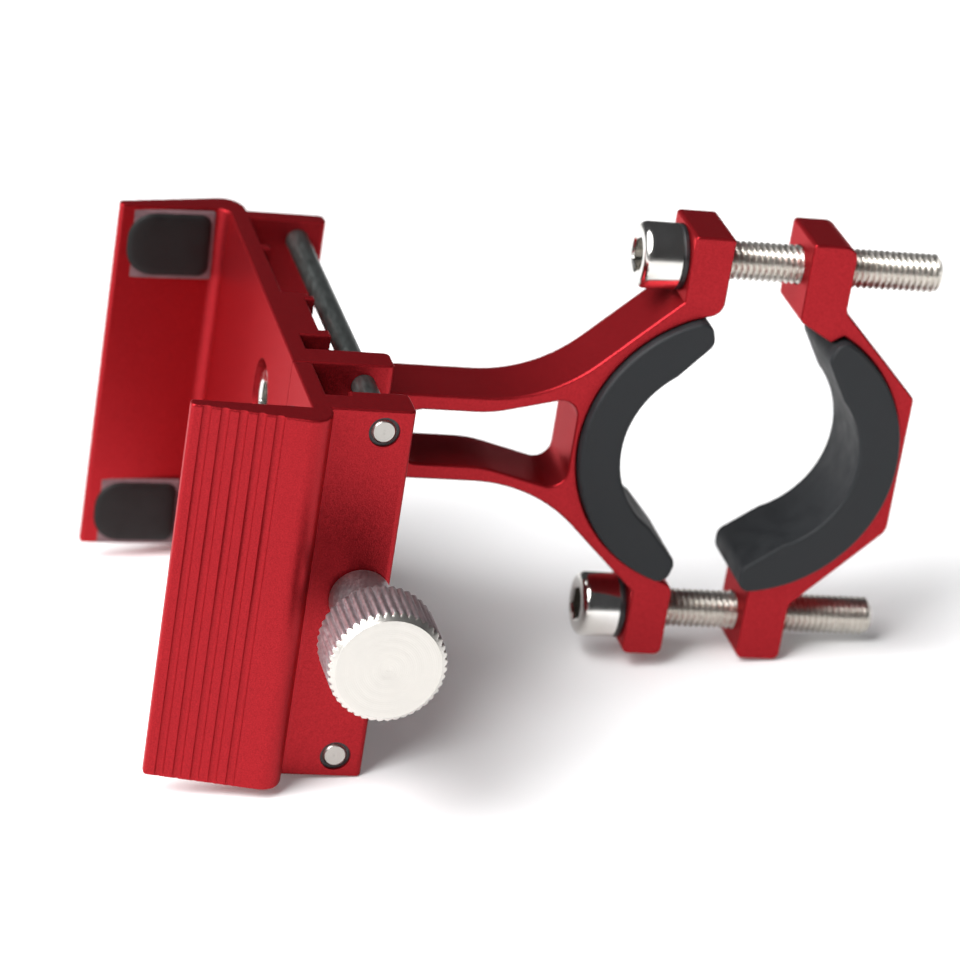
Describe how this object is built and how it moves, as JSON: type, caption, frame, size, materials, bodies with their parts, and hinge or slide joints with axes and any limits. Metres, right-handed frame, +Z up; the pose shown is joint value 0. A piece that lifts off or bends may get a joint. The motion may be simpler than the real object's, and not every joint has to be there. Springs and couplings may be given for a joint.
{
  "type": "phone handlebar mount",
  "caption": "Phone holder with a screw-driven sliding claw, on a forked stem with a padded two-bolt clamp for a round bar.",
  "frame": {"origin": "centre of the round bar that the clamp grips, in the middle of the clamp's width", "axes": "+X from the phone towards the bar, +Y along the bar, +Z up along the phone's long side"},
  "size_m": [0.0996, 0.0877, 0.0642],
  "materials": {
    "red_anodised": "fine bead-blasted, anodised red",
    "pad_rubber": "matt moulded rubber",
    "polished_steel": "polished stainless steel",
    "black_washer": "black, satin",
    "steel_rod": "ground steel",
    "nickel_knob": "turned and knurled, bright nickel"
  },
  "bodies": {
    "frame": {"stem": "red_anodised", "stem_pad": "pad_rubber", "fixed_bracket": "red_anodised", "stem_screw": "polished_steel", "far_upper_pad": "pad_rubber", "far_lower_pad": "pad_rubber"},
    "cap": {"clamp_cap": "red_anodised", "cap_pad": "pad_rubber"},
    "upper_bolt": {"upper_clamp_bolt": "polished_steel", "upper_bolt_washer": "black_washer"},
    "lower_bolt": {"lower_clamp_bolt": "polished_steel", "lower_bolt_washer": "black_washer"},
    "claw": {"sliding_claw": "red_anodised", "upper_guide_rod": "steel_rod", "lower_guide_rod": "steel_rod", "near_upper_pad": "pad_rubber", "near_lower_pad": "pad_rubber"},
    "screw": {"knob": "nickel_knob", "lead_screw": "steel_rod", "screw_clip": "steel_rod"}
  },
  "joints": [
    {"name": "cap_slide", "type": "slide", "parent": "frame", "child": "cap", "axis": [1, 0, 0], "range_m": [-0.007, 0.013]},
    {"name": "upper_bolt_turn", "type": "hinge", "parent": "frame", "child": "upper_bolt", "pos_m": [0, 0, 0.02435], "axis": [1, 0, 0], "range_deg": [-5851, 3151]},
    {"name": "lower_bolt_turn", "type": "hinge", "parent": "frame", "child": "lower_bolt", "pos_m": [0, 0, -0.02435], "axis": [1, 0, 0], "range_deg": [-5851, 3151]},
    {"name": "claw_slide", "type": "slide", "parent": "frame", "child": "claw", "axis": [0, -1, 0], "range_m": [0, 0.03]},
    {"name": "knob_turn", "type": "hinge", "parent": "claw", "child": "screw", "pos_m": [-0.0494, 0, -0.0108], "axis": [0, 1, 0], "range_deg": [-13501, 1]}
  ],
  "couplings": [
    {"joint": "upper_bolt_turn", "follows": "cap_slide", "rad_per_m": -7854},
    {"joint": "lower_bolt_turn", "follows": "cap_slide", "rad_per_m": -7854},
    {"joint": "knob_turn", "follows": "claw_slide", "rad_per_m": -7854}
  ]
}
